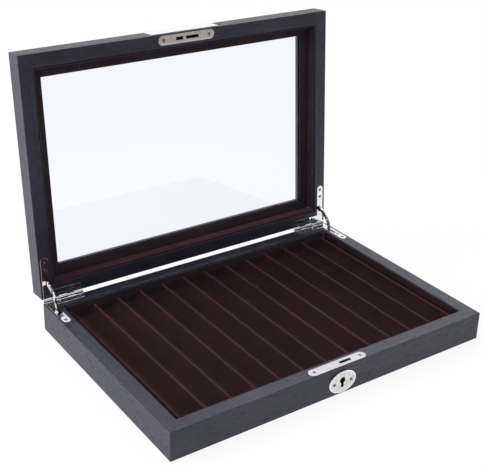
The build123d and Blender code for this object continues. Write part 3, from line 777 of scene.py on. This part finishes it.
def buildFelt(values):
    # In words: a flat slab whose underside lifts by a small product of sines.
    low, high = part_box("underside_felt")
    x = np.linspace(low[0], high[0], values["acrossSteps"])
    y = np.linspace(low[1], high[1], values["alongSteps"])
    waves = np.sin(x[None, :] * values["waveAcross"]) * np.sin(y[:, None] * values["waveAlong"])
    lift = values["unevenness"] * mm * (1 + waves) / 2
    rings = np.empty((len(y), len(x) + 2, 3))
    rings[:, :-2, 0] = x[None, :]
    rings[:, :-2, 2] = low[2] + lift
    rings[:, -2] = (high[0], 0, high[2])
    rings[:, -1] = (low[0], 0, high[2])
    rings[:, :, 1] = y[:, None]
    sheet = skinFromRings("underFelt", rings, feltMaterial, "base", "underside_felt")


buildFelt(feltSheet)
print("stage: felt laid")


# Floor, lamps and world, in metres and watts
studio = {
    "floorSize": 4.0, "floorHeight": -0.0002, "floorColour": 0.95,
    "fadeStart": 0.45, "fadeEnd": 0.9, "nearGlow": 0.88, "worldDiffuse": 0.75,
    "darkFrom": -0.35, "darkTo": -0.85, "darkGlossy": 0.4,  # towards the front of the room
    "overheadFrom": 0.60, "overheadTo": 0.85, "darkOverhead": 0.35,
    "cardPlace": (0, -0.87, 0.49), "cardFrom": 0.64, "cardTo": 0.80, "darkCard": 0.06,
    "aim": (0, 0, 0.06),
    "leftLamp": {"place": (-1.6, 0.5, 0.9), "size": 1.2, "power": 33.0},
    "backLamp": {"place": (1.3, 1.1, 2.1), "size": 1.2, "power": 15.0},
    "frontLamp": {"place": (0.5, -1.35, 2.2), "size": 1.2, "power": 4.5},
}


def eyeMask(tree):
    # Two masks: what is seen directly or through the glass, and what is seen in a reflection
    path = tree.nodes.new("ShaderNodeLightPath")
    seen, through = path.outputs["Is Camera Ray"], path.outputs["Is Transmission Ray"]
    return mathNode(tree, "MAXIMUM", seen, through), path.outputs["Is Glossy Ray"]


def shadeNode(tree, source, start, end, last, first=1.0):
    # The first value up to the start, the last one from the end, and an even change between them
    shade = addNode(tree, "ShaderNodeMapRange", From_Min=start, From_Max=end, To_Min=first,
                    To_Max=last)
    tree.links.new(source, shade.inputs["Value"])
    return shade.outputs[0]


def buildFloor(values):
    # A matt floor that shows the shadow near the case and fades to plain white further out
    half, height = values["floorSize"] / 2, values["floorHeight"]
    mesh = bpy.data.meshes.new("floor")
    corners = [(x * half, y * half, height) for x, y in ((-1, -1), (1, -1), (1, 1), (-1, 1))]
    mesh.from_pydata(corners, [], [(0, 1, 2, 3)])
    floor = bpy.data.objects.new("floor", mesh)
    bpy.context.collection.objects.link(floor)
    material = bpy.data.materials.new("paleFloor")
    material.use_nodes = True
    tree = material.node_tree
    tree.nodes.clear()
    matt = addNode(tree, "ShaderNodeBsdfDiffuse", Color=(values["floorColour"],) * 3 + (1,))
    glow = addNode(tree, "ShaderNodeEmission", Color=(1, 1, 1, 1))
    blend = tree.nodes.new("ShaderNodeMixShader")
    coordinates = tree.nodes.new("ShaderNodeTexCoord")
    far = addNode(tree, "ShaderNodeVectorMath", operation="LENGTH")
    tree.links.new(coordinates.outputs["Object"], far.inputs[0])
    place = tree.nodes.new("ShaderNodeSeparateXYZ")
    tree.links.new(coordinates.outputs["Object"], place.inputs[0])
    fade = shadeNode(tree, far.outputs["Value"], values["fadeStart"], values["fadeEnd"], 1.0,
                     values["nearGlow"])
    direct, glossy = eyeMask(tree)
    seen = mathNode(tree, "MAXIMUM", direct, glossy)
    tree.links.new(mathNode(tree, "MULTIPLY", fade, seen), blend.inputs[0])
    shade = shadeNode(tree, place.outputs["Y"], values["darkFrom"], values["darkTo"],
                      values["darkGlossy"])
    tree.links.new(mathNode(tree, "MAXIMUM", direct, shade), glow.inputs["Strength"])
    tree.links.new(matt.outputs[0], blend.inputs[1])
    tree.links.new(glow.outputs[0], blend.inputs[2])
    # Seen from below the floor is clear, so that the underside shows
    facing = tree.nodes.new("ShaderNodeNewGeometry")
    clear = addNode(tree, "ShaderNodeBsdfTransparent", Color=(1, 1, 1, 1))
    either = tree.nodes.new("ShaderNodeMixShader")
    tree.links.new(facing.outputs["Backfacing"], either.inputs[0])
    tree.links.new(blend.outputs[0], either.inputs[1])
    tree.links.new(clear.outputs[0], either.inputs[2])
    out = tree.nodes.new("ShaderNodeOutputMaterial")
    tree.links.new(either.outputs[0], out.inputs["Surface"])
    dress(floor, material)


def buildWorld(values):
    world = bpy.data.worlds.new("studio")
    bpy.context.scene.world = world
    world.use_nodes = True
    tree = world.node_tree
    tree.nodes.clear()
    direct, glossy = eyeMask(tree)
    coordinates = tree.nodes.new("ShaderNodeTexCoord")
    direction = tree.nodes.new("ShaderNodeSeparateXYZ")
    tree.links.new(coordinates.outputs["Generated"], direction.inputs[0])
    shade = shadeNode(tree, direction.outputs["Y"], values["darkFrom"], values["darkTo"],
                      values["darkGlossy"])
    plain = mathNode(tree, "MULTIPLY", shade, values["worldDiffuse"])
    overhead = shadeNode(tree, direction.outputs["Z"], values["overheadFrom"], values["overheadTo"],
                         values["darkOverhead"])
    # A dark card beside the camera, seen in the corners of polished metal
    nearCard = addNode(tree, "ShaderNodeVectorMath", operation="DOT_PRODUCT")
    tree.links.new(coordinates.outputs["Generated"], nearCard.inputs[0])
    nearCard.inputs[1].default_value = values["cardPlace"]
    card = shadeNode(tree, nearCard.outputs["Value"], values["cardFrom"], values["cardTo"],
                     values["darkCard"])
    reflected = mathNode(tree, "MULTIPLY", mathNode(tree, "MULTIPLY", shade, overhead), card)
    lit = tree.nodes.new("ShaderNodeMix")
    for socket, value in zip((0, 2, 3), (glossy, plain, reflected)):
        tree.links.new(value, lit.inputs[socket])
    background = addNode(tree, "ShaderNodeBackground", Color=(1, 1, 1, 1))
    tree.links.new(mathNode(tree, "MAXIMUM", direct, lit.outputs[0]), background.inputs["Strength"])
    out = tree.nodes.new("ShaderNodeOutputWorld")
    tree.links.new(background.outputs[0], out.inputs["Surface"])


def addLamp(name, values, aim):
    data = bpy.data.lights.new(name, "AREA")
    data.size = values["size"]
    data.energy = values["power"]
    lamp = bpy.data.objects.new(name, data)
    lamp.location = values["place"]
    lamp.rotation_euler = (Vector(values["place"]) - Vector(aim)).to_track_quat("Z", "Y").to_euler()
    bpy.context.collection.objects.link(lamp)


buildFloor(studio)
buildWorld(studio)
for lampName in ("leftLamp", "backLamp", "frontLamp"):
    addLamp(lampName, studio[lampName], studio["aim"])
bpy.context.scene.view_settings.view_transform = "Standard"
print("stage: studio lit")
